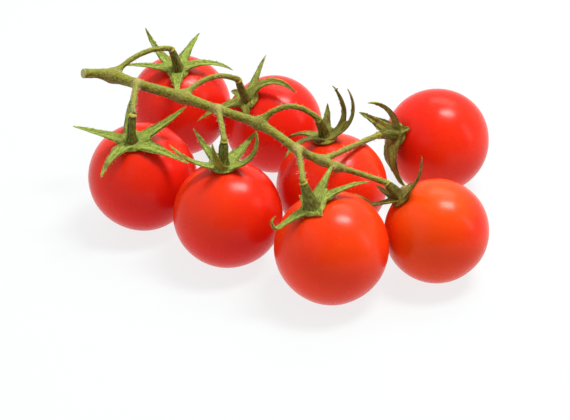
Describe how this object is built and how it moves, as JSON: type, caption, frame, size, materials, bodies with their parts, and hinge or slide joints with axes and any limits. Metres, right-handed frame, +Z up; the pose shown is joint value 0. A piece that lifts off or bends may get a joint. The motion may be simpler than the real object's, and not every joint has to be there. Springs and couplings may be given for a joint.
{
  "type": "truss of tomatoes",
  "caption": "Truss of round ripe tomatoes lying on its fruits, with a branching green main stem, side stalks, knuckled pedicels and pointed calyx sepals.",
  "frame": {"origin": "on the surface the truss lies on, under the middle of its bounding box", "axes": "+X from the main stem's cut end towards its tip side, +Y from the front row of fruits to the back row, +Z up"},
  "size_m": [0.1482, 0.1376, 0.0565],
  "materials": {
    "tomato_skin": "smooth glossy skin, a little see-through",
    "stem_green": "satin olive green with fine pale hairs",
    "calyx_green": "matt green, lighter and downy on the inner face, browned at some edges"
  },
  "bodies": {
    "root": {"main_stem": "stem_green", "stalk_1": "stem_green", "pedicel_1": "stem_green", "calyx_1": "calyx_green", "tomato_1": "tomato_skin", "stalk_2": "stem_green", "pedicel_2": "stem_green", "calyx_2": "calyx_green", "tomato_2": "tomato_skin", "stalk_3": "stem_green", "pedicel_3": "stem_green", "calyx_3": "calyx_green", "tomato_3": "tomato_skin", "stalk_4": "stem_green", "pedicel_4": "stem_green", "calyx_4": "calyx_green", "tomato_4": "tomato_skin", "stalk_5": "stem_green", "pedicel_5": "stem_green", "calyx_5": "calyx_green", "tomato_5": "tomato_skin", "stalk_6": "stem_green", "pedicel_6": "stem_green", "calyx_6": "calyx_green", "tomato_6": "tomato_skin", "stalk_7": "stem_green", "pedicel_7": "stem_green", "calyx_7": "calyx_green", "tomato_7": "tomato_skin", "stalk_8": "stem_green", "pedicel_8": "stem_green", "calyx_8": "calyx_green", "tomato_8": "tomato_skin"}
  },
  "joints": []
}
